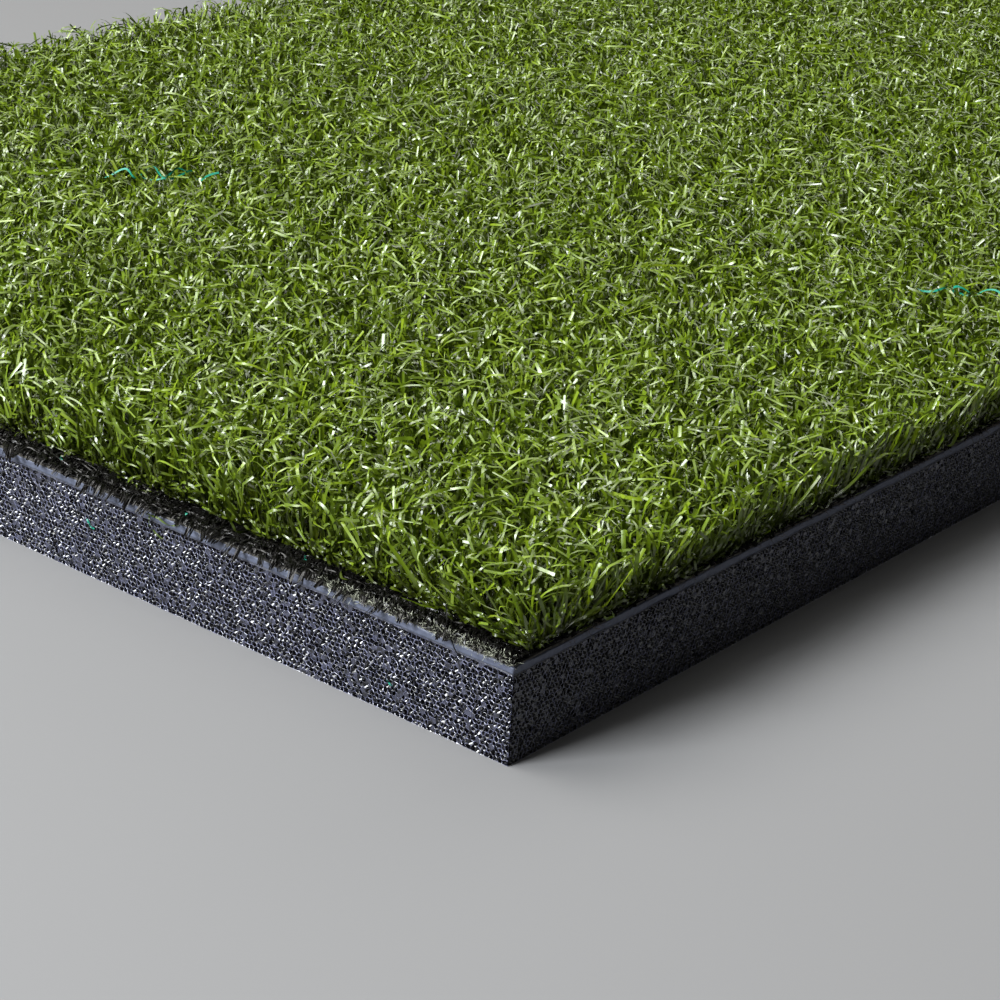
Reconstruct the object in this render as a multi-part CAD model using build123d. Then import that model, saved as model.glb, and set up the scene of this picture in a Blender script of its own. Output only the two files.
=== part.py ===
from build123d import *
import os

# A tufted golf hitting mat: synthetic turf laminated to a cut foam pad. It has no mechanism,
# so its pieces are the layers of the laminate, stacked from the floor up.
# Millimetres, +Z up, origin at the centre of the underside. X is the long side.

# Driving sizes
MAT_LENGTH = 609.6  # 24 in
MAT_WIDTH = 304.8  # 12 in
FOAM_THICKNESS = 16.0  # 5/8 in
ADHESIVE_THICKNESS = 0.2
COAT_THICKNESS = 1.3
FLEECE_THICKNESS = 0.35
BACKING_THICKNESS = 0.5
PILE_HEIGHT = 12.0  # above the woven backing
THATCH_HEIGHT = 5.0

# Tufting
GAUGE = 25.4 * 3 / 16  # from one tuft row to the next
ROW_WIDTH = 3.2
STITCH_WIDTH = 2.0
STITCH_DEPTH = 0.6
THATCH_GAP = 0.1  # between a thatch strip and the yarn beside it and over it
BARE_END = 6.0  # woven backing left bare at the -X end, where the first row was cut away
FAR_END = 2.0  # from the last tuft row to the cut edge at the +X end
BARE_SIDE = 1.0  # from a row's ends to the long cut edges

# Heights of the faces between the layers
adhesive_bottom = FOAM_THICKNESS
coat_bottom = adhesive_bottom + ADHESIVE_THICKNESS
fleece_bottom = coat_bottom + COAT_THICKNESS
backing_bottom = fleece_bottom + FLEECE_THICKNESS
pile_bottom = backing_bottom + BACKING_THICKNESS

# The tuft rows run along Y, side by side along X
row_length = MAT_WIDTH - 2 * BARE_SIDE
tufted_length = MAT_LENGTH - BARE_END - FAR_END
row_count = int((tufted_length - ROW_WIDTH) / GAUGE) + 1
first_row_x = -MAT_LENGTH / 2 + BARE_END + ROW_WIDTH / 2
row_places = [first_row_x + i * GAUGE for i in range(row_count)]
valley_places = [x + GAUGE / 2 for x in row_places[:-1]]


def layer(bottom, thickness):
    """A layer cut to the mat's full outline, standing on the height bottom."""
    centre = Vector(0, 0, bottom + thickness / 2)
    return Pos(centre) * Box(MAT_LENGTH, MAT_WIDTH, thickness)


def strips(places, width, bottom, height):
    """One separate strip along Y at each of the given places along X."""
    strip = Box(width, row_length, height)
    return [Pos(x, 0, bottom + height / 2) * strip for x in places]


def foam_pad():
    """The closed-cell foam block that the mat lies on."""
    return layer(0, FOAM_THICKNESS)


def laminate_adhesive():
    """The film that bonds the turf to the foam."""
    return layer(adhesive_bottom, ADHESIVE_THICKNESS)


def stitch_backs():
    """The backs of the stitches: one ridge of yarn under each tuft row, sunk into the coat."""
    bottom = fleece_bottom - STITCH_DEPTH
    return Compound(children=strips(row_places, STITCH_WIDTH, bottom, STITCH_DEPTH))


def latex_coat():
    """The coat that locks the stitches, with a groove round each stitch ridge."""
    grooves = strips(row_places, STITCH_WIDTH, fleece_bottom - STITCH_DEPTH, STITCH_DEPTH)
    return layer(coat_bottom, COAT_THICKNESS) - grooves


def fleece_layer():
    """The needled fleece on the underside of the woven cloth."""
    return layer(fleece_bottom, FLEECE_THICKNESS)


def primary_backing():
    """The woven cloth that the yarn is tufted through."""
    return layer(backing_bottom, BACKING_THICKNESS)


def pile_yarn():
    """The tall ribbon yarn: separate rows at its foot, closing over the valleys above."""
    tufted_width = row_places[-1] - row_places[0] + ROW_WIDTH
    middle = (row_places[-1] + row_places[0]) / 2
    block = Pos(middle, 0, pile_bottom + PILE_HEIGHT / 2) * Box(tufted_width, row_length, PILE_HEIGHT)
    return block - strips(valley_places, GAUGE - ROW_WIDTH, pile_bottom, THATCH_HEIGHT)


def thatch_yarn():
    """The short curled yarn that fills the valleys between the tuft rows."""
    width = GAUGE - ROW_WIDTH - 2 * THATCH_GAP
    height = THATCH_HEIGHT - THATCH_GAP
    return Compound(children=strips(valley_places, width, pile_bottom, height))


NODES = (
    foam_pad,
    laminate_adhesive,
    latex_coat,
    stitch_backs,
    fleece_layer,
    primary_backing,
    thatch_yarn,
    pile_yarn,
)

os.makedirs("parts", exist_ok=True)
for make_node in NODES:
    export_step(make_node(), f"parts/{make_node.__name__}.step")
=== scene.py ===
"""The looks of a golf hitting mat: curled ribbon turf on a frayed woven backing, a fleece, a grey
latex coat and a block of cut foam. Everything is in metres, in the CAD model's frame."""
import math
from collections import namedtuple

import bpy
import numpy as np
from mathutils import Matrix, Vector


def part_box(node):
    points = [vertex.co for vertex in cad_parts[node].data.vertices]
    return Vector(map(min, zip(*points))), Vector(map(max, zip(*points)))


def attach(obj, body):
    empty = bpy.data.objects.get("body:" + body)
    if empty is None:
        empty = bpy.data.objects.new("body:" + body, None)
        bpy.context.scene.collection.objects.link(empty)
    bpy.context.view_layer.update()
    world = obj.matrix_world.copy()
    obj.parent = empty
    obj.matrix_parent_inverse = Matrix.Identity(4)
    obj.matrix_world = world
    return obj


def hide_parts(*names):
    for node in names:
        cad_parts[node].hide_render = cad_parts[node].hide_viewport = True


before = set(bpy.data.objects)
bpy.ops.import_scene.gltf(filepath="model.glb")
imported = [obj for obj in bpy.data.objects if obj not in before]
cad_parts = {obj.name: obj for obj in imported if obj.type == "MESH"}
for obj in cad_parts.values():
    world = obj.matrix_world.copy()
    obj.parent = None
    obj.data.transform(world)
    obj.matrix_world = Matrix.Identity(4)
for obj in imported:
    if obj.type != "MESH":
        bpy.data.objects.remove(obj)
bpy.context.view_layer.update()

MM = 0.001
SEED = 19  # each feature adds its own number to this, so that one can change without the others
UP = np.array([0.0, 0.0, 1.0])
X_AXIS = np.array([1.0, 0.0, 0.0])
Y_AXIS = np.array([0.0, 1.0, 0.0])

# The CAD layers' boxes, as (lowest corner, highest corner)
foam_low, foam_high = (np.array(corner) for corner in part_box("foam_pad"))
glue_low, glue_high = (np.array(corner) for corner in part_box("laminate_adhesive"))
coat_low, coat_high = (np.array(corner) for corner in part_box("latex_coat"))
fleece_low, fleece_high = (np.array(corner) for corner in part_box("fleece_layer"))
cloth_low, cloth_high = (np.array(corner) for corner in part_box("primary_backing"))
pile_low, pile_high = (np.array(corner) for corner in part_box("pile_yarn"))
mat_length = foam_high[0] - foam_low[0]
mat_width = foam_high[1] - foam_low[1]
near_corner = foam_low

# The camera: where it looks, counted from the near corner, and from which way
AIM_FROM_CORNER = np.array([28, 27, 29]) * MM
VIEW_DISTANCE = 457 * MM
VIEW_HEADING = math.radians(38.6)  # from +X towards +Y
VIEW_DOWN = math.radians(23.6)
VIEW_ROLL = math.radians(3.3)
FOCAL_LENGTH = 98.5  # for a sensor 36 mm wide

# Pile
GAUGE = 25.4 * 3 / 16 * MM  # from one tuft row to the next
ROW_WIDTH = 3.2 * MM  # how wide one row of tufts is
STITCH = 3.2 * MM  # from one tuft to the next along a row
BLOCKS = 16  # the pile is made in this many pieces along X
RIBBONS_PER_TUFT = 3.4
CURLS_PER_TUFT = 7
EDGE_CURLS = 5 / MM  # short extra curls for each metre of the pile's border
RIBBON_STEPS = 5  # straight pieces in a wide ribbon
CURL_STEPS = 10  # and in a curl
FIRST_STEP = 0.3  # the share of a ribbon that its straight foot takes
KINKED = 0.4  # the share of wide ribbons with a sharp bend
TURNED_BACK = 0.35  # the share of curls that end by curling the other way
LAID_OVER = 0.18  # the share of curls that stand straight and then lie over
FOLD = 0.10  # how far a wide ribbon's middle stands out, as a share of its width
SIDE_FALL = 3.0 * MM  # how far the tips at the pile's borders lean out
END_FALL = 4.0 * MM  # the same over the wide bare strip, times a share that changes along it
LEANING_RIM = 6 * MM  # how far in from its borders the pile leans
CORNER_REACH = 24 * MM  # how far from the near corner the pile leans more and more fleece shows

# Foam
CELL = 0.95 * MM  # a cell's width
ZIGZAG = 0.16  # how far a row's corners step up and down, as a share of the row
CELL_JITTER = 0.16  # how far a cell's corners stray, as a share of the cell
SKINNED = 0.12  # the share of cells that are shallow, with a skin across them
SHOULDER_SHADE = 0.4  # the painted pit shade of a cell's shoulder, how dark its colour is painted: its crest is 0 and its floor is 1
SKIN_SHADE = 0.3  # and of a skin
SECTION = mat_width / 2  # the length of one piece of a cut face

# Woven backing
TAPE_PITCH = 1.1 * MM  # from one woven tape to the next
TAPE_LIFT = 0.10 * MM  # how far a tape rises and dips where it crosses others
WARP_SPLITS = 6  # each tape along an edge is split into this many flat fibres
WEFT_SPLITS = 3  # and each tape that runs in from it
FRAY_FIBRES = 11  # loose fibres at each cut tape


# ---------------------------------------------------------------- helpers


def mesh_piece(name, points, face_groups, material, values=None):
    """A smooth mesh object. Each face group is an array with one row of point numbers for each face.
    values maps an attribute's name to one number for each point."""
    mesh = bpy.data.meshes.new(name)
    points = np.asarray(points, np.float32)
    mesh.vertices.add(len(points))
    mesh.vertices.foreach_set("co", points.ravel())
    groups = [np.asarray(group, np.int32) for group in face_groups]
    corners = np.concatenate([group.ravel() for group in groups])
    sizes = np.concatenate([np.full(len(group), group.shape[1], np.int32) for group in groups])
    starts = np.concatenate([[0], np.cumsum(sizes)[:-1]]).astype(np.int32)
    mesh.loops.add(len(corners))
    mesh.loops.foreach_set("vertex_index", corners)
    mesh.polygons.add(len(sizes))
    mesh.polygons.foreach_set("loop_start", starts)
    mesh.update(calc_edges=True)
    mesh.shade_smooth()
    for key, numbers in (values or {}).items():
        attribute = mesh.attributes.new(key, "FLOAT", "POINT")
        attribute.data.foreach_set("value", np.asarray(numbers, np.float32).ravel())
    mesh.materials.append(material)
    ob = bpy.data.objects.new(name, mesh)
    bpy.context.scene.collection.objects.link(ob)
    return ob


def unit(vectors):
    return vectors / np.maximum(np.linalg.norm(vectors, axis=-1, keepdims=True), 1e-12)


def turned(vectors, axes, angles):
    """Each vector turned about its own unit axis by its own angle."""
    cosine = np.cos(angles)[..., None]
    sine = np.sin(angles)[..., None]
    along = np.sum(vectors * axes, axis=-1, keepdims=True)
    return vectors * cosine + np.cross(axes, vectors) * sine + axes * along * (1 - cosine)


def slow_noise(places, scale, seed):
    """A smooth number from about -1 to 1 at each 2D place, which changes over about scale metres."""
    rng = np.random.default_rng(seed)
    total = np.zeros(len(places))
    for _ in range(6):
        direction = rng.uniform(0, 2 * np.pi)
        frequency = 2 * np.pi / (scale * rng.uniform(0.7, 2.2))
        wave = places[:, 0] * np.cos(direction) + places[:, 1] * np.sin(direction)
        total += np.sin(wave * frequency + rng.uniform(0, 2 * np.pi))
    return total / 3


def slow_line(u, scale, seed):
    """slow_noise along a line."""
    return slow_noise(np.column_stack([u, np.zeros(len(u))]), scale, seed)


# ---------------------------------------------------------------- ribbons


def ribbon_lines(roots, headings, leans, spins, lengths, bends, twists):
    """Centre lines and width directions of flat ribbons that grow from roots.
    A ribbon starts leaning towards its heading and spun about its own length. bends and twists are
    its turns in radians at each step, about its width and about its length."""
    steps = bends.shape[1]
    shares = np.full(steps, (1 - FIRST_STEP) / (steps - 1))
    shares[0] = FIRST_STEP
    outward = np.stack([np.cos(headings), np.sin(headings), np.zeros(len(roots))], axis=1)
    tangents = unit(outward * np.sin(leans)[:, None] + UP * np.cos(leans)[:, None])
    widths = turned(unit(np.cross(UP, outward)), tangents, spins)
    widths = unit(widths - tangents * np.sum(widths * tangents, axis=1, keepdims=True))
    centres = [roots]
    sides = [widths]
    for step in range(steps):
        tangents = turned(tangents, widths, bends[:, step])
        widths = turned(widths, tangents, twists[:, step])
        centres.append(centres[-1] + tangents * (lengths * shares[step])[:, None])
        sides.append(widths)
    return np.stack(centres, axis=1), np.stack(sides, axis=1)


def flat_strips(centres, sides, widths):
    """Points and faces of flat ribbons, each with two points at each step."""
    half = sides * (widths[:, None, None] / 2)
    points = np.stack([centres - half, centres + half], axis=2)
    return strip_mesh(points)


def folded_strips(centres, sides, widths):
    """Points and faces of ribbons folded a little along their middle, with three points a step."""
    half = sides * (widths[:, None, None] / 2)
    forward = unit(np.gradient(centres, axis=1))
    fold = unit(np.cross(forward, sides)) * (widths[:, None, None] * FOLD)
    points = np.stack([centres - half, centres + fold, centres + half], axis=2)
    return strip_mesh(points)


def strip_mesh(points):
    """Points and four-sided faces of strips, from their points as (strip, step, across)."""
    count, rings, across = points.shape[:3]
    strip = np.arange(count)[:, None, None] * rings * across
    step = np.arange(rings - 1)[None, :, None] * across
    first = strip + step + np.arange(across - 1)[None, None]
    faces = np.stack([first, first + 1, first + across + 1, first + across], axis=3)
    return points.reshape(-1, 3), faces.reshape(-1, 4)


def tuft_places(x_low, x_high):
    """The middle of each tuft whose row lies from x_low up to x_high."""
    rows = np.arange(pile_low[0] + ROW_WIDTH / 2, pile_high[0], GAUGE)
    rows = rows[(rows >= x_low) & (rows < x_high)]
    stitches = np.arange(pile_low[1] + 0.4 * MM, pile_high[1], STITCH)
    x, y = np.meshgrid(rows, stitches, indexing="ij")
    return np.stack([x.ravel(), y.ravel()], axis=1)


def rooted(tufts, per_tuft, spread, rng):
    """Root points scattered about the tufts, on the cloth."""
    count = int(len(tufts) * per_tuft)
    chosen = tufts[rng.permutation(np.arange(count) % len(tufts))]
    places = chosen + rng.normal(0, spread, (count, 2))
    places = np.clip(places, pile_low[:2], pile_high[:2])
    return np.column_stack([places, np.full(count, pile_low[2])])


def kept_in_pile(centres, rng):
    """The lines held between the cloth and the top of the pile, and near its sides: each ribbon
    may reach out over the mat's edge by its own amount."""
    count, rings = centres.shape[:2]
    top = pile_high[2] - pile_low[2]
    rise = centres[:, :, 2] - pile_low[2]
    highest = np.maximum(rise.max(axis=1, keepdims=True), 0.1 * MM)
    limit = top * rng.uniform(0.86, 1.0, (count, 1))
    rise = np.where(highest > limit, rise * limit / highest, rise)
    lowest = rng.uniform(0.3, 1.2, (count, 1)) * MM
    from_root = np.minimum(np.arange(rings) / 2, 1)[None]
    centres[:, :, 2] = pile_low[2] + np.maximum(rise, lowest * from_root)
    # Past a border, a line slows down and never gets further out than its reach
    reach = np.clip(rng.exponential(1.0, (count, 1)), 0.2, 6) * MM
    for axis in (0, 1):
        place = centres[:, :, axis]
        under = np.maximum(pile_low[axis] - place, 0)
        over = np.maximum(place - pile_high[axis], 0)
        held = np.clip(place, pile_low[axis], pile_high[axis])
        centres[:, :, axis] = held - reach * np.tanh(under / reach) + reach * np.tanh(over / reach)
    return centres


def fallen_over(centres):
    """The ribbons beside the pile's borders, leaning out over the bare rim. Over the wide strip they
    lean by an amount that changes along it, and most at the near corner."""
    u = centres[:, 0, 1] - near_corner[1]
    corner_share = 2.2 * np.exp(-((u / CORNER_REACH) ** 2))
    share_along = corner_share + 0.4 + 0.5 * slow_line(u, 60 * MM, SEED + 3)
    end_fall = np.maximum(END_FALL * share_along, 0)[:, None]
    rise = (centres[:, :, 2] - pile_low[2]) / (pile_high[2] - pile_low[2])
    # Each border: its axis, its place on that axis and how far the tips there lean
    borders = (
        (0, pile_low[0], -end_fall),
        (0, pile_high[0], SIDE_FALL),
        (1, pile_low[1], -SIDE_FALL),
        (1, pile_high[1], SIDE_FALL),
    )
    for axis, border, fall in borders:
        share = np.clip(1 - np.abs(centres[:, :1, axis] - border) / LEANING_RIM, 0, 1)
        centres[:, :, axis] += fall * share * rise
    return centres


def tall_ribbons(tufts, rng):
    """The wide glossy ribbons: nearly upright, and many bent over sharply towards the top."""
    roots = rooted(tufts, RIBBONS_PER_TUFT, 1.0 * MM, rng)
    count = len(roots)
    headings = rng.uniform(0, 2 * np.pi, count)
    leans = np.abs(rng.normal(0.15, 0.30, count))
    spins = rng.normal(0, 0.6, count)
    lengths = rng.normal(13.0, 1.8, count) * MM
    bends = rng.normal(0.06, 0.12, (count, 1)) + rng.normal(0, 0.16, (count, RIBBON_STEPS))
    kinked = rng.random(count) < KINKED
    kink_step = rng.integers(2, RIBBON_STEPS, count)
    bends[np.arange(count), kink_step] += kinked * rng.normal(0.5, 0.9, count)
    twists = rng.normal(0, 0.15, (count, 1)) + rng.normal(0, 0.16, (count, RIBBON_STEPS))
    centres, sides = ribbon_lines(roots, headings, leans, spins, lengths, bends, twists)
    widths = rng.normal(0.60, 0.12, count) * MM
    return folded_strips(fallen_over(kept_in_pile(centres, rng)), sides, widths)


def curled_ribbons(tufts, rng):
    """The finer thatch: narrow ribbons curled into hooks and loops."""
    roots = rooted(tufts, CURLS_PER_TUFT, 1.4 * MM, rng)
    count = len(roots)
    headings = rng.uniform(0, 2 * np.pi, count)
    leans = np.abs(rng.normal(0.25, 0.45, count))
    spins = rng.uniform(-1.5, 1.5, count)
    lengths = rng.normal(18.5, 3.5, count) * MM
    step = np.arange(CURL_STEPS)[None]
    side = rng.choice([-1, 1], (count, 1))
    turns_back = rng.random((count, 1)) < TURNED_BACK
    turn_step = rng.integers(4, CURL_STEPS, (count, 1))
    side = np.where(turns_back & (step >= turn_step), -side, side)
    tightness = rng.uniform(0.12, 0.85, (count, 1))
    growing = np.linspace(0.2, 1.4, CURL_STEPS)[None]
    bends = side * tightness * growing
    laid = rng.random((count, 1)) < LAID_OVER
    laid_step = rng.integers(5, 8, (count, 1))
    laid_bends = np.where(step == laid_step, rng.uniform(0.8, 1.6, (count, 1)), 0)
    bends = np.where(laid, laid_bends, bends) + rng.normal(0, 0.18, (count, CURL_STEPS))
    twists = rng.normal(0, 0.20, (count, 1)) + rng.normal(0, 0.12, (count, CURL_STEPS))
    centres, sides = ribbon_lines(roots, headings, leans, spins, lengths, bends, twists)
    widths = rng.normal(0.39, 0.09, count) * MM
    return flat_strips(fallen_over(kept_in_pile(centres, rng)), sides, widths)


def pile_fringe(name, start, along, inward, length, material, rng):
    """Short curls that fill the foot of the pile along one of its sides."""
    count = int(length * EDGE_CURLS)
    along_side = rng.uniform(0, length, (count, 1)) * along
    roots = start + along_side + rng.uniform(0, 1.5 * MM, (count, 1)) * inward
    outward = math.atan2(-inward[1], -inward[0])
    headings = outward + rng.normal(0, 1.1, count)
    leans = np.abs(rng.normal(0.5, 0.5, count))
    spins = rng.uniform(-1.5, 1.5, count)
    lengths = rng.uniform(4, 12, count) * MM
    bends = rng.normal(0.35, 0.35, (count, 1)) + rng.normal(0, 0.4, (count, CURL_STEPS))
    twists = rng.normal(0, 0.40, (count, 1)) + rng.normal(0, 0.20, (count, CURL_STEPS))
    centres, sides = ribbon_lines(roots, headings, leans, spins, lengths, bends, twists)
    widths = rng.normal(0.42, 0.08, count) * MM
    points, faces = flat_strips(fallen_over(kept_in_pile(centres, rng)), sides, widths)
    tones = np.repeat(rng.random(count) * 0.7, (CURL_STEPS + 1) * 2)
    # A fringe curl's rise goes with its height above the cloth, so its painted foot shade is darkest
    # lowest down
    highest = (pile_high[2] - pile_low[2]) * 0.9
    rises = 0.1 + (points[:, 2] - pile_low[2]) / highest
    return mesh_piece(name, points, [faces], material, {"tone": tones, "rise": rises})


def pile_block(index, material):
    """One block of the pile, with both yarns."""
    rng = np.random.default_rng(SEED + index)
    edges = np.linspace(pile_low[0], pile_high[0] + GAUGE, BLOCKS + 1)
    tufts = tuft_places(edges[index], edges[index + 1])
    points = []
    faces = []
    tones = []
    rises = []
    total = 0
    # Each yarn: what makes it, a ribbon's points along and across it, and its darkest tone
    kinds = ((tall_ribbons, RIBBON_STEPS + 1, 3, 0.15), (curled_ribbons, CURL_STEPS + 1, 2, 0.0))
    for make, rings, across, least_tone in kinds:
        strip_points, strip_faces = make(tufts, rng)
        count = len(strip_points) // (rings * across)
        points.append(strip_points)
        faces.append(strip_faces + total)
        total += len(strip_points)
        tone = least_tone + rng.random(count) * (1 - least_tone)
        tones.append(np.repeat(tone, rings * across))
        # rise runs from a ribbon's root to its tip and sets the painted shade at its foot
        rises.append(np.tile(np.repeat(np.linspace(0, 1, rings), across), count))
    values = {"tone": np.concatenate(tones), "rise": np.concatenate(rises)}
    name = f"turf_block_{index:02d}"
    return mesh_piece(name, np.concatenate(points), [np.concatenate(faces)], material, values)


# ---------------------------------------------------------------- foam


def honeycomb(length, height, cell, rng):
    """A jittered honeycomb over a rectangle: its (u, v) corner points and each cell's six corners.
    Corners at the rim lie on the rim."""
    columns = int(round(length / cell))
    rows = int(round(height / (cell * math.cos(math.radians(30)))))
    step_u = length / columns
    step_v = height / rows
    row, column = np.meshgrid(np.arange(rows + 1), np.arange(2 * columns + 2), indexing="ij")
    zigzag = np.where((row + column) % 2 == 0, ZIGZAG, -ZIGZAG)
    u = (column - 0.5) * step_u / 2 + rng.normal(0, CELL_JITTER, row.shape) * step_u
    v = (row + zigzag) * step_v + rng.normal(0, CELL_JITTER, row.shape) * step_v
    v[0] = 0
    v[-1] = height
    u = np.clip(u, 0, length)
    v = np.clip(v, 0, height)
    wide = 2 * columns + 2
    cells = []
    for j in range(rows):
        first = np.arange(j % 2, wide - 2, 2)
        lower = j * wide + first
        upper = lower + wide
        cells.append(np.stack([lower, lower + 1, lower + 2, upper + 2, upper + 1, upper], axis=1))
    return np.stack([u.ravel(), v.ravel()], axis=1), np.concatenate(cells)


def ring_between(outer, inner):
    """Four-sided faces from each cell's outer ring of points to its inner one."""
    return np.stack([outer, np.roll(outer, -1, 1), np.roll(inner, -1, 1), inner], axis=2).reshape(-1, 4)


def foam_section(name, corners, cells, place, material, rng):
    """Part of a cut face: round-shouldered pits, and a few shallow ones with a skin across them.
    place turns (u, v, inward) into points."""
    used, local = np.unique(cells, return_inverse=True)
    local = local.reshape(cells.shape)
    count = len(cells)
    middle = corners[cells].mean(axis=1)[:, None]
    spokes = corners[cells] - middle
    skinned = (rng.random(count) < SKINNED)[:, None]
    shoulder_share = rng.uniform(0.80, 0.92, (count, 1, 1))
    floor_share = rng.uniform(0.58, 0.78, (count, 1, 1))
    shoulder = middle + spokes * shoulder_share
    floor = middle + spokes * floor_share
    tilt = rng.normal(0, 0.05, (count, 6)) * MM
    shoulder_depth = rng.uniform(0.06, 0.20, (count, 1)) * MM + tilt
    open_depth = rng.uniform(0.7, 1.0, (count, 1)) * MM
    floor_depth = np.where(skinned, 0.12 * MM, open_depth) + tilt
    crest_depth = corners[used, 2]
    rings = [ring[..., :2].reshape(-1, 2) for ring in (shoulder, floor)]
    flat = np.concatenate([corners[used, :2], *rings])
    inward = np.concatenate([crest_depth, shoulder_depth.ravel(), floor_depth.ravel()])
    points = place(flat[:, 0], flat[:, 1], inward)
    shoulder_ring = len(used) + np.arange(count * 6).reshape(-1, 6)
    floor_ring = shoulder_ring + count * 6
    # Painted shade for each point: 0 on the crest, darker on the shoulder and skin, 1 on the black floor
    pit = np.concatenate(
        [
            np.zeros(len(used)),
            np.full(count * 6, SHOULDER_SHADE),
            np.repeat(np.where(skinned, SKIN_SHADE, 1.0), 6),
        ]
    )
    walls = np.concatenate([ring_between(local, shoulder_ring), ring_between(shoulder_ring, floor_ring)])
    return mesh_piece(name, points, [walls, floor_ring], material, {"pit": pit})


def foam_side(side, start, along, outward, length, material, rng):
    """One cut face of the foam, in sections."""
    height = foam_high[2] - foam_low[2]
    flat, cells = honeycomb(length, height, CELL, rng)
    crest = np.abs(rng.normal(0, 0.04, len(flat))) * MM
    rim = (flat[:, 1] <= 0) | (flat[:, 1] >= height) | (flat[:, 0] <= 0) | (flat[:, 0] >= length)
    crest[rim] = 0
    corners = np.column_stack([flat, crest])

    def place(u, v, inward):
        return start + u[:, None] * along + v[:, None] * UP - inward[:, None] * outward

    sections = int(round(length / SECTION))
    section = (flat[cells, 0].mean(axis=1) / length * sections).astype(int)
    made = []
    for index in range(sections):
        name = f"foam_{side}_{index + 1}"
        made.append(foam_section(name, corners, cells[section == index], place, material, rng))
    return made


def foam_faces(material):
    """The foam's four cut faces."""
    rng = np.random.default_rng(SEED + 50)
    corner_b = foam_low + X_AXIS * mat_length
    corner_c = corner_b + Y_AXIS * mat_width
    corner_d = foam_low + Y_AXIS * mat_width
    made = []
    made += foam_side("front", foam_low, X_AXIS, -Y_AXIS, mat_length, material, rng)
    made += foam_side("right", corner_b, Y_AXIS, X_AXIS, mat_width, material, rng)
    made += foam_side("back", corner_c, -X_AXIS, Y_AXIS, mat_length, material, rng)
    made += foam_side("left", corner_d, -Y_AXIS, -X_AXIS, mat_width, material, rng)
    return made


# ---------------------------------------------------------------- the layers' edges


def outline(low, high, step):
    """Points round a rectangle, counter-clockwise from its lowest corner."""
    nx = int((high[0] - low[0]) / step)
    ny = int((high[1] - low[1]) / step)
    x = np.linspace(low[0], high[0], nx, endpoint=False)
    y = np.linspace(low[1], high[1], ny, endpoint=False)
    front = np.column_stack([x, np.full(nx, low[1])])
    right = np.column_stack([np.full(ny, high[0]), y])
    back = np.column_stack([high[0] + low[0] - x, np.full(nx, high[1])])
    left = np.column_stack([np.full(ny, low[0]), high[1] + low[1] - y])
    return np.concatenate([front, right, back, left])


def closed_layer(name, low, high, levels, wobble, ragged, material, seed):
    """A closed slab. levels lists its rings from the bottom up, as (share of its height, inset).
    Its sides are pushed in further by up to wobble, and its upper rim is ragged."""
    ring = outline(low, high, 0.5 * MM)
    count = len(ring)
    rng = np.random.default_rng(seed)
    rows = []
    for number, (share, inset) in enumerate(levels):
        push = inset + wobble * np.abs(slow_noise(ring, 9 * MM, seed + number))
        push = (push + rng.uniform(0, wobble * 0.3, count))[:, None]
        row = np.clip(ring, low[:2] + push, high[:2] - push)
        edge = ragged * share**3 * (slow_noise(ring, 4 * MM, seed) + rng.normal(0, 0.3, count))
        rows.append(np.column_stack([row, low[2] + share * (high[2] - low[2]) + edge]))
    index = np.arange(count)
    following = np.roll(index, -1)
    wall = np.stack([index, following, following + count, index + count], axis=1)
    walls = np.concatenate([wall + level * count for level in range(len(levels) - 1)])
    caps = [index[::-1][None], (index + (len(levels) - 1) * count)[None]]
    return mesh_piece(name, np.concatenate(rows), [walls, *caps], material)


def even_levels(inset):
    return [(share, inset) for share in (0, 0.25, 0.5, 0.75, 1)]


# A cut edge of the mat: its start on top of the cloth, the ways along it and in from it, its
# length, and how far in the bare weave is made
Edge = namedtuple("Edge", "name start along inward length bare")
cloth_near = np.array([cloth_low[0], cloth_low[1], cloth_high[2]])
EDGES = (
    Edge("left", cloth_near, Y_AXIS, X_AXIS, mat_width, 9 * MM),
    Edge("front", cloth_near, X_AXIS, Y_AXIS, mat_length, 3.5 * MM),
    Edge("right", cloth_near + X_AXIS * mat_length, Y_AXIS, -X_AXIS, mat_width, 4.5 * MM),
    Edge("back", cloth_near + Y_AXIS * mat_width, X_AXIS, -Y_AXIS, mat_length, 3.5 * MM),
)


def on_edge(edge, u, inward, rise):
    """Points by their place along an edge, the distance in from it and the height above the cloth."""
    place = u[..., None] * edge.along + inward[..., None] * edge.inward + rise[..., None] * UP
    return edge.start + place


def lying_sides(centres, rolls):
    """Width directions for flat fibres that lie down, rolled about their own length."""
    forward = unit(np.gradient(centres, axis=1))
    flat = unit(np.cross(forward, UP))
    return turned(flat, forward, rolls)


def warp_fibres(edge, rng):
    """The tapes that run along an edge, over and under the ones that run in from it."""
    tapes = int(edge.bare / TAPE_PITCH)
    steps = int(edge.length / (TAPE_PITCH / 2))
    u = np.linspace(0.2 * MM, edge.length - 0.2 * MM, steps + 1)
    lines = []
    rolls = []
    for tape in range(tapes):
        for split in range(WARP_SPLITS):
            number = tape * WARP_SPLITS + split
            wander = slow_line(u, 14 * MM, SEED + number) * 0.22
            inward = (tape + 0.75 + (split / (WARP_SPLITS - 1) - 0.5) * 0.9 + wander) * TAPE_PITCH
            wave = np.cos(np.pi * (u / TAPE_PITCH + tape))
            lift = TAPE_LIFT * wave + (0.10 + 0.12 * slow_line(u, 8 * MM, SEED + 90 + number)) * MM
            lines.append(on_edge(edge, u, np.maximum(inward, 0.1 * MM), lift))
            rolls.append(1.1 * slow_line(u, 3 * MM, SEED + 40 + number))
    lines = np.stack(lines)
    widths = rng.normal(0.19, 0.04, len(lines)) * MM
    return flat_strips(lines, lying_sides(lines, np.stack(rolls)), widths)


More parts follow.
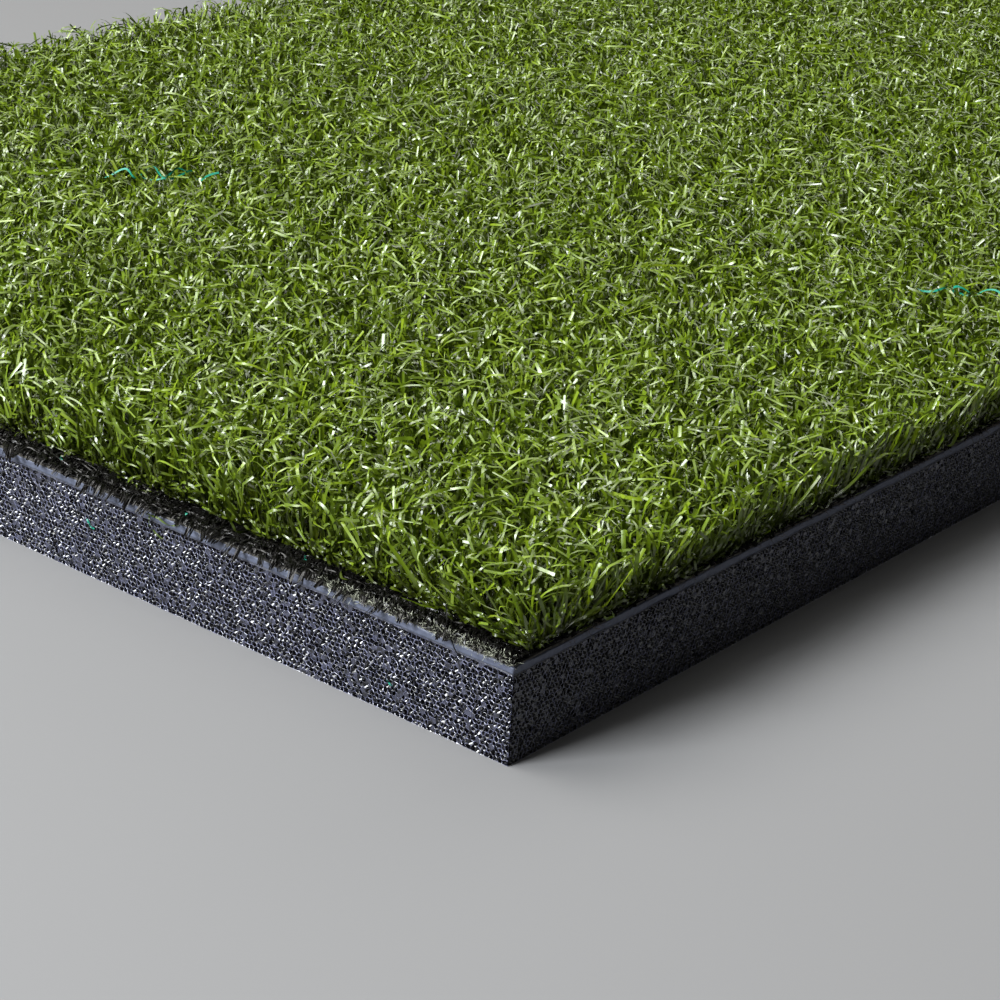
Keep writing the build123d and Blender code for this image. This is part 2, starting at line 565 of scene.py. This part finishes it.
def weft_fibres(edge, rng):
    """The tapes that run in from an edge."""
    tapes = int(edge.length / TAPE_PITCH)
    steps = int(edge.bare / (TAPE_PITCH / 2))
    inward = np.linspace(0.1 * MM, edge.bare, steps + 1)
    lines = []
    for tape in range(tapes):
        for split in range(WEFT_SPLITS):
            u = (tape + 0.5 + (split - 1) * 0.3) * TAPE_PITCH + rng.normal(0, 0.05) * MM
            wave = -np.cos(np.pi * (inward / TAPE_PITCH - 0.75 + tape))
            lines.append(on_edge(edge, np.full(steps + 1, u), inward, TAPE_LIFT * wave))
    lines = np.stack(lines)
    rolls = rng.normal(0, 0.3, lines.shape[:1])[:, None] + np.zeros(lines.shape[:2])
    return flat_strips(lines, lying_sides(lines, rolls), rng.normal(0.32, 0.05, len(lines)) * MM)


def frayed_ends(edge, reach, inset, rng):
    """The cut ends of the tapes that run in from an edge: a bunch of fibres at each tape, which
    narrows to its tip. It sticks out by up to reach from a line inset from the edge, and droops
    where it is past the edge."""
    tapes = int(edge.length / TAPE_PITCH)
    steps = 5
    from_corner = np.arange(tapes) * TAPE_PITCH / (20 * MM)
    bunch_out = reach * rng.beta(1.3, 1.7, tapes) * (1 - 0.7 * np.exp(-(from_corner**2)))
    bunch_splay = rng.normal(-0.25, 0.3, tapes)
    bunch_droop = rng.uniform(0.1, 0.6, tapes)
    bunch_inset = rng.uniform(0.6, 1.0, tapes) * inset
    tape = np.repeat(np.arange(tapes), FRAY_FIBRES)
    count = len(tape)
    aside = rng.uniform(-0.7, 0.7, count) * TAPE_PITCH
    out = bunch_out[tape] * rng.uniform(0.7, 1.1, count)
    back = rng.uniform(0.8, 2.6, count) * MM
    splay = bunch_splay[tape] + rng.normal(0, 0.08, count)
    share = np.linspace(0, 1, steps + 1)[None]
    run = (back + out)[:, None] * share
    inward = (back + bunch_inset[tape])[:, None] - run
    hump = rng.uniform(0.15, 0.6, (count, 1)) * MM * np.sin(np.pi * share)
    lift = 0.1 * MM + hump - np.maximum(-inward, 0) * bunch_droop[tape][:, None]
    u = (tape[:, None] + 0.5) * TAPE_PITCH + aside[:, None] * (1 - 0.7 * share) + splay[:, None] * run
    lines = on_edge(edge, np.clip(u, 0, edge.length), inward, lift)
    rolls = rng.normal(0, 0.5, (count, 1)) + rng.normal(0, 0.15, share.shape)
    return flat_strips(lines, lying_sides(lines, rolls), rng.uniform(0.10, 0.24, count) * MM)


def loose_fibres(edge, count, longest, rng):
    """Fibres pulled out of the weave that lie on it, mostly along the edge."""
    steps = 10
    u = rng.uniform(1 * MM, edge.length - longest - 1 * MM, count)
    inward = rng.uniform(0.05, 1.0, count) * edge.bare * 0.8
    run = rng.uniform(0.25, 1.0, count) * longest
    drift = rng.normal(0, 0.10, count)
    share = np.linspace(0, 1, steps + 1)[None]
    along = u[:, None] + run[:, None] * share
    swing = rng.normal(0, 0.35, (count, 1)) * MM
    sway = swing * np.sin(2 * np.pi * share + rng.uniform(0, 6, (count, 1)))
    into = np.maximum(inward[:, None] + drift[:, None] * run[:, None] * share + sway, 0.1 * MM)
    arch = np.abs(np.sin(np.pi * share * rng.uniform(1, 3, (count, 1))))
    lift = 0.2 * MM + rng.uniform(0, 0.7, (count, 1)) * MM * arch
    lines = on_edge(edge, along, into, lift)
    rolls = rng.normal(0, 0.6, (count, 1)) + rng.normal(0, 0.4, (count, steps + 1))
    return flat_strips(lines, lying_sides(lines, rolls), rng.uniform(0.12, 0.26, count) * MM)


def joined(name, strips, material):
    """One mesh from several (points, faces)."""
    points = []
    faces = []
    total = 0
    for strip_points, strip_faces in strips:
        points.append(strip_points)
        faces.append(strip_faces + total)
        total += len(strip_points)
    return mesh_piece(name, np.concatenate(points), [np.concatenate(faces)], material)


def fleece_fuzz(edge, count, cover, near_share, leans, rng):
    """Short curled fibres that stand out of the fleece along an edge, in clumps. cover is how evenly
    they fill it, and near_share is how much thicker they are at the near corner. leans is the least
    and most that they lean from upright."""
    steps = 4
    u = rng.uniform(0.3 * MM, edge.length - 0.3 * MM, count)
    clump = slow_line(u, 16 * MM, SEED + 5 + len(edge.name))
    near = near_share * np.exp(-((u / CORNER_REACH) ** 2))
    u = u[cover + clump * 0.8 + near > rng.uniform(0.3, 1.6, count)]
    count = len(u)
    depth = cloth_high[2] - fleece_low[2]
    inward = rng.uniform(-0.15, 1.1, count) * MM
    roots = on_edge(edge, u, inward, rng.uniform(-1.0, 0.3, count) * depth)
    outward = math.atan2(-edge.inward[1], -edge.inward[0])
    headings = outward + rng.normal(0, 1.2, count)
    bends = rng.normal(0, 0.5, (count, steps))
    twists = rng.normal(0, 0.6, (count, steps))
    lengths = rng.uniform(0.4, 1.7, count) * MM
    lean = rng.uniform(*leans, count)
    spins = headings  # any angles will do
    centres, sides = ribbon_lines(roots, headings, lean, spins, lengths, bends, twists)
    return flat_strips(centres, sides, rng.uniform(0.04, 0.09, count) * MM)


def thread(places, width, sway, rng):
    """A loose flat thread through places, counted in mm from the near corner, swayed by sway."""
    places = np.array(places, float) * MM + near_corner
    steps = 30
    share = np.linspace(0, len(places) - 1, steps + 1)
    along = np.arange(len(places))
    line = np.stack([np.interp(share, along, places[:, axis]) for axis in range(3)], axis=1)
    swing = np.sin(share * rng.uniform(4, 9, (3, 1)) + rng.uniform(0, 6, (3, 1))).T * sway
    line = (line + swing)[None]
    rolls = rng.uniform(0, 3) + np.linspace(0, 5, steps + 1)[None]
    return flat_strips(line, lying_sides(line, rolls), np.array([width]))


# ---------------------------------------------------------------- materials


def new_material(name):
    material = bpy.data.materials.new(name)
    material.use_nodes = True
    nodes = material.node_tree.nodes
    shader = next(node for node in nodes if node.type == "BSDF_PRINCIPLED")
    return material, nodes, material.node_tree.links, shader


def ramp(nodes, stops):
    node = nodes.new("ShaderNodeValToRGB")
    elements = node.color_ramp.elements
    while len(elements) < len(stops):
        elements.new(0.5)
    for element, (place, colour) in zip(elements, stops):
        element.position = place
        element.color = (*colour, 1)
    return node


def noise_at(nodes, links, scale, detail):
    place = nodes.new("ShaderNodeTexCoord")
    noise = nodes.new("ShaderNodeTexNoise")
    noise.inputs["Scale"].default_value = scale
    noise.inputs["Detail"].default_value = detail
    links.new(place.outputs["Object"], noise.inputs["Vector"])
    return noise


def product(nodes, links, one, other):
    """The colour of one times other."""
    mix = nodes.new("ShaderNodeMix")
    mix.data_type = "RGBA"
    mix.blend_type = "MULTIPLY"
    mix.inputs["Factor"].default_value = 1.0
    links.new(one, mix.inputs["A"])
    links.new(other, mix.inputs["B"])
    return mix.outputs["Result"]


def coloured_by(nodes, links, attribute, stops):
    """A colour read from a mesh attribute through a ramp."""
    source = nodes.new("ShaderNodeAttribute")
    source.attribute_name = attribute
    colours = ramp(nodes, stops)
    links.new(source.outputs["Fac"], colours.inputs[0])
    return colours.outputs["Color"]


def bumped(nodes, links, shader, height, distance, strength):
    bump = nodes.new("ShaderNodeBump")
    bump.inputs["Strength"].default_value = strength
    bump.inputs["Distance"].default_value = distance
    links.new(height, bump.inputs["Height"])
    links.new(bump.outputs["Normal"], shader.inputs["Normal"])


def turf_material():
    """Glossy polythene ribbon: every ribbon has its own green, and its foot is painted darker and browner,
    as painted shade deep in the pile.
    """
    material, nodes, links, shader = new_material("turf_yarn")
    greens = [
        (0.0, (0.070, 0.106, 0.003)),
        (0.3, (0.095, 0.149, 0.003)),
        (0.7, (0.126, 0.198, 0.004)),
        (1.0, (0.182, 0.260, 0.008)),
    ]
    # Painted shade: this ramp darkens and browns each ribbon towards its foot, where the pile shades
    # itself
    foot = [(0.0, (0.20, 0.17, 0.10)), (0.3, (0.58, 0.55, 0.44)), (0.6, (1, 1, 1))]
    tone = coloured_by(nodes, links, "tone", greens)
    rise = coloured_by(nodes, links, "rise", foot)
    links.new(product(nodes, links, tone, rise), shader.inputs["Base Color"])
    shader.inputs["Roughness"].default_value = 0.33
    shader.inputs["Specular IOR Level"].default_value = 0.8
    return material


def foam_material():
    """Charcoal foam: black inside the cells as painted shade, and glossy lavender grey on the ridges, with
    noise patches lighter and darker as painted glints.
    """
    material, nodes, links, shader = new_material("cut_foam")
    # Painted shade: the colour darkens with depth in a cell, from lavender grey on the crest to black on
    # the floor
    depth = [
        (0.0, (0.205, 0.215, 0.345)),
        (0.2, (0.075, 0.080, 0.130)),
        (0.4, (0.003, 0.003, 0.005)),
        (1.0, (0.001, 0.001, 0.001)),
    ]
    pit = coloured_by(nodes, links, "pit", depth)
    noise = noise_at(nodes, links, 1200, 2)
    # Painted glints: light noise patches stand for glinting cell walls, with darker patches between
    painted_glint_mottle = ramp(nodes, [(0.38, (0.12, 0.12, 0.12)), (0.58, (1, 1, 1))])
    links.new(noise.outputs["Fac"], painted_glint_mottle.inputs[0])
    links.new(product(nodes, links, pit, painted_glint_mottle.outputs["Color"]), shader.inputs["Base Color"])
    rough = ramp(nodes, [(0.42, (0.10, 0.10, 0.10)), (0.60, (0.30, 0.30, 0.30))])
    links.new(noise.outputs["Fac"], rough.inputs[0])
    links.new(rough.outputs["Color"], shader.inputs["Roughness"])
    shader.inputs["Specular IOR Level"].default_value = 0.95
    bumped(nodes, links, shader, noise.outputs["Fac"], 0.06 * MM, 0.5)
    return material


def noisy_material(name, dark, light, scale, roughness, bump_height, specular=0.5):
    """A material mottled between two colours, with a fine bump."""
    material, nodes, links, shader = new_material(name)
    noise = noise_at(nodes, links, scale, 4)
    colours = ramp(nodes, [(0.3, dark), (0.7, light)])
    links.new(noise.outputs["Fac"], colours.inputs[0])
    links.new(colours.outputs["Color"], shader.inputs["Base Color"])
    shader.inputs["Roughness"].default_value = roughness
    shader.inputs["Specular IOR Level"].default_value = specular
    bumped(nodes, links, shader, noise.outputs["Fac"], bump_height, 0.5)
    return material


def plain_material(name, colour, roughness):
    material, nodes, links, shader = new_material(name)
    shader.inputs["Base Color"].default_value = (*colour, 1)
    shader.inputs["Roughness"].default_value = roughness
    return material


# ---------------------------------------------------------------- build


def belongs(piece, slot, *nodes):
    """The piece rides on the mat, and may stand for CAD nodes, which it hides. Its slot is not used."""
    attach(piece, "root")
    if nodes:
        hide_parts(*nodes)


turf = turf_material()
foam = foam_material()
latex = noisy_material("latex", (0.064, 0.074, 0.110), (0.106, 0.121, 0.172), 900, 0.55, 0.05 * MM)
glue = noisy_material("adhesive", (0.02, 0.02, 0.025), (0.10, 0.105, 0.13), 1800, 0.4, 0.05 * MM)
tape = noisy_material("woven_tape", (0.002, 0.002, 0.002), (0.01, 0.009, 0.008), 2500, 0.2, 0.08 * MM, 0.3)
beige = noisy_material("fleece", (0.27, 0.28, 0.22), (0.58, 0.60, 0.47), 2500, 0.8, 0.05 * MM)
felt = noisy_material("fleece_body", (0.035, 0.033, 0.030), (0.14, 0.130, 0.110), 1500, 0.9, 0.08 * MM)
# Painted shade: a darker brown copy of the beige fleece fuzz, for the edges other than the bare one
painted_shade_fleece = noisy_material("dull_fleece", (0.06, 0.05, 0.042), (0.20, 0.165, 0.135), 2500, 0.9, 0.05 * MM)
green = noisy_material("stitch_yarn", (0.03, 0.05, 0.005), (0.10, 0.15, 0.012), 1200, 0.4, 0.05 * MM)
teal = plain_material("marker_thread", (0.01, 0.26, 0.17), 0.4)
hair = plain_material("loose_hair", (0.004, 0.004, 0.004), 0.4)

for block in range(BLOCKS):
    belongs(pile_block(block, turf), "turf", "pile_yarn", "thatch_yarn")

fringe_rng = np.random.default_rng(SEED + 40)
pile_size = pile_high - pile_low
pile_sides = (
    ("left", pile_low, Y_AXIS, X_AXIS, pile_size[1]),
    ("front", pile_low, X_AXIS, Y_AXIS, pile_size[0]),
    ("right", pile_low + X_AXIS * pile_size[0], Y_AXIS, -X_AXIS, pile_size[1]),
    ("back", pile_low + Y_AXIS * pile_size[1], X_AXIS, -Y_AXIS, pile_size[0]),
)
for side, start, along, inward, length in pile_sides:
    fringe = pile_fringe(f"turf_fringe_{side}", start, along, inward, length, turf, fringe_rng)
    belongs(fringe, "turf")

core_levels = [(0, 0), (0.002, 0.9 * MM), (0.998, 0.9 * MM), (1, 0)]
core = closed_layer("foam_core", foam_low, foam_high, core_levels, 0, 0, foam, SEED + 55)
for piece in [core, *foam_faces(foam)]:
    belongs(piece, "foam", "foam_pad")

# The thin layers, from the bottom up
levels = even_levels(0.03 * MM)
film = closed_layer("glue_film", glue_low, glue_high, levels, 0.05 * MM, 0, glue, SEED + 60)
belongs(film, "adhesive", "laminate_adhesive")
levels = even_levels(0)
band = closed_layer("coat_band", coat_low, coat_high, levels, 0.12 * MM, 0.10 * MM, latex, SEED + 70)
belongs(band, "coat", "latex_coat")
levels = even_levels(0.05 * MM)
fleece = closed_layer(
    "fleece_sheet", fleece_low, fleece_high, levels, 0.25 * MM, 0.05 * MM, felt, SEED + 80
)
belongs(fleece, "fleece", "fleece_layer")
levels = even_levels(0.2 * MM)
woven = closed_layer("woven_sheet", cloth_low, cloth_high, levels, 0.3 * MM, 0.03 * MM, tape, SEED + 90)
belongs(woven, "woven_backing", "primary_backing")

edge_rng = np.random.default_rng(SEED + 100)
for edge in EDGES:
    weave = [warp_fibres(edge, edge_rng), weft_fibres(edge, edge_rng)]
    belongs(joined(f"weave_{edge.name}", weave, tape), "woven_backing")
    bare = edge.name == "left"
    frays = [
        frayed_ends(edge, (3.4 if bare else 0.9) * MM, 0, edge_rng),
        loose_fibres(edge, 700 if bare else 150, (12 if bare else 26) * MM, edge_rng),
    ]
    if bare:
        frays += [frayed_ends(edge, 2.0 * MM, inset * MM, edge_rng) for inset in (2, 4, 6, 8)]
    belongs(joined(f"fray_{edge.name}", frays, tape), "woven_backing")
    # The bare edge's fuzz is beige; the others take the darker copy with painted shade
    if bare:
        fuzz = fleece_fuzz(edge, 15000, 0, 2.4, (0.3, 1.7), edge_rng)
    else:
        fuzz = fleece_fuzz(edge, 12000, 0.9, 0, (1.3, 2.6), edge_rng)
    belongs(joined(f"fuzz_{edge.name}", [fuzz], beige if bare else painted_shade_fleece), "fleece")

# The loose threads, each as its width, its sway and the places it passes, in mm from the near corner
MARKERS = (
    # four on top of the pile
    (0.45, 1.0, [(103, 204, 29), (110, 199, 29.4), (116, 192, 29)]),
    (0.45, 1.0, [(108, 199, 29), (114, 193, 29.4), (121, 187, 29)]),
    (0.45, 0.9, [(175, 38, 29), (179, 33, 29.4), (182, 28, 29)]),
    (0.45, 0.9, [(178, 34, 29), (181, 30, 29.4), (185, 24, 29)]),
    # three bits on the bare strip
    (0.4, 0.1, [(2.2, 107, 18.8), (3.2, 108, 18.9)]),
    (0.4, 0.1, [(1.2, 74, 18.8), (1.9, 74.8, 19)]),
    (0.4, 0.1, [(3.4, 48, 18.8), (4.4, 48.8, 19)]),
    # two bits on the foam's left face
    (0.3, 0.1, [(-0.1, 97.6, 11), (-0.15, 96.9, 10), (-0.1, 95.8, 9.7)]),
    (0.3, 0.1, [(-0.1, 26, 5.7), (-0.15, 25.3, 5.4), (-0.1, 24.5, 4.9)]),
)
SNIPS = (
    (0.4, 0.1, [(-0.3, 82, 17.4), (-0.6, 76.3, 17.0), (-0.4, 74.5, 17.6)]),
    (0.3, 0.1, [(-0.2, 82, 16.9), (-0.6, 81, 15.0), (-0.3, 78.5, 13.7)]),
)
HAIRS = ((0.2, 0.05, [(4.5, 18, 21), (-0.6, 13.4, 19.6), (-0.5, 11, 15.9)]),)
thread_rng = np.random.default_rng(SEED + 200)
loose_bits = (
    ("marker_threads", MARKERS, teal, "turf"),
    ("turf_snip", SNIPS, green, "turf"),
    ("loose_hair", HAIRS, hair, "woven_backing"),
)
for name, threads, material, slot in loose_bits:
    strips = [thread(places, width * MM, sway * MM, thread_rng) for width, sway, places in threads]
    belongs(joined(name, strips, material), slot)

# The stitch backs stay as the CAD has them, under the layers, and only get a material
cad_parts["stitch_backs"].data.materials.clear()
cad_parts["stitch_backs"].data.materials.append(green)

# ---------------------------------------------------------------- stage, lights, camera


def stage_floor():
    mesh = bpy.data.meshes.new("floor")
    size = 6.0
    corners = [(-size, -size, 0), (size, -size, 0), (size, size, 0), (-size, size, 0)]
    mesh.from_pydata(corners, [], [(0, 1, 2, 3)])
    mesh.materials.append(plain_material("pale_floor", (0.21, 0.21, 0.212), 0.8))
    floor = bpy.data.objects.new("floor", mesh)
    bpy.context.scene.collection.objects.link(floor)


def area_light(name, target, heading, rise, distance, size, power, colour):
    """A square lamp that points at target, from a heading in degrees from +X towards +Y, a rise in
    degrees and a distance in metres. Its power is in watts."""
    light = bpy.data.lights.new(name, "AREA")
    light.shape = "SQUARE"
    light.size = size
    light.energy = power
    light.color = colour
    ob = bpy.data.objects.new(name, light)
    heading, rise = math.radians(heading), math.radians(rise)
    level = math.cos(rise)
    offset = Vector((math.cos(heading) * level, math.sin(heading) * level, math.sin(rise)))
    ob.location = target + offset * distance
    ob.rotation_euler = (target - ob.location).to_track_quat("-Z", "Y").to_euler()
    bpy.context.scene.collection.objects.link(ob)


def main_camera(target):
    forward = Vector(
        (
            math.cos(VIEW_HEADING) * math.cos(VIEW_DOWN),
            math.sin(VIEW_HEADING) * math.cos(VIEW_DOWN),
            -math.sin(VIEW_DOWN),
        )
    )
    camera = bpy.data.cameras.new("camera")
    camera.lens = FOCAL_LENGTH
    camera.sensor_width = 36
    camera.clip_start = 0.01
    ob = bpy.data.objects.new("camera", camera)
    place = target - forward * VIEW_DISTANCE
    level = forward.to_track_quat("-Z", "Y").to_matrix().to_4x4()
    ob.matrix_world = Matrix.Translation(place) @ level @ Matrix.Rotation(VIEW_ROLL, 4, "Z")
    bpy.context.scene.collection.objects.link(ob)
    bpy.context.scene.camera = ob


def studio_world(colour, strength):
    world = bpy.data.worlds.new("studio")
    world.use_nodes = True
    background = world.node_tree.nodes["Background"]
    background.inputs["Color"].default_value = (*colour, 1)
    background.inputs["Strength"].default_value = strength
    bpy.context.scene.world = world


stage_floor()
aim = Vector(near_corner + AIM_FROM_CORNER)
COOL = (0.94, 0.97, 1.0)
WARM = (1.0, 0.99, 0.96)
area_light("key", aim, heading=160, rise=34, distance=1.3, size=0.5, power=32, colour=COOL)
area_light("rim", aim, heading=112, rise=50, distance=2.0, size=1.2, power=38, colour=WARM)
area_light("fill", aim, heading=40, rise=60, distance=2.6, size=2.4, power=20, colour=WARM)
area_light("end", aim, heading=10, rise=20, distance=3.0, size=1.8, power=20, colour=(1.0, 0.99, 0.97))
studio_world((1.0, 1.0, 1.0), 0.05)
main_camera(aim)
bpy.context.scene.view_settings.view_transform = "Standard"
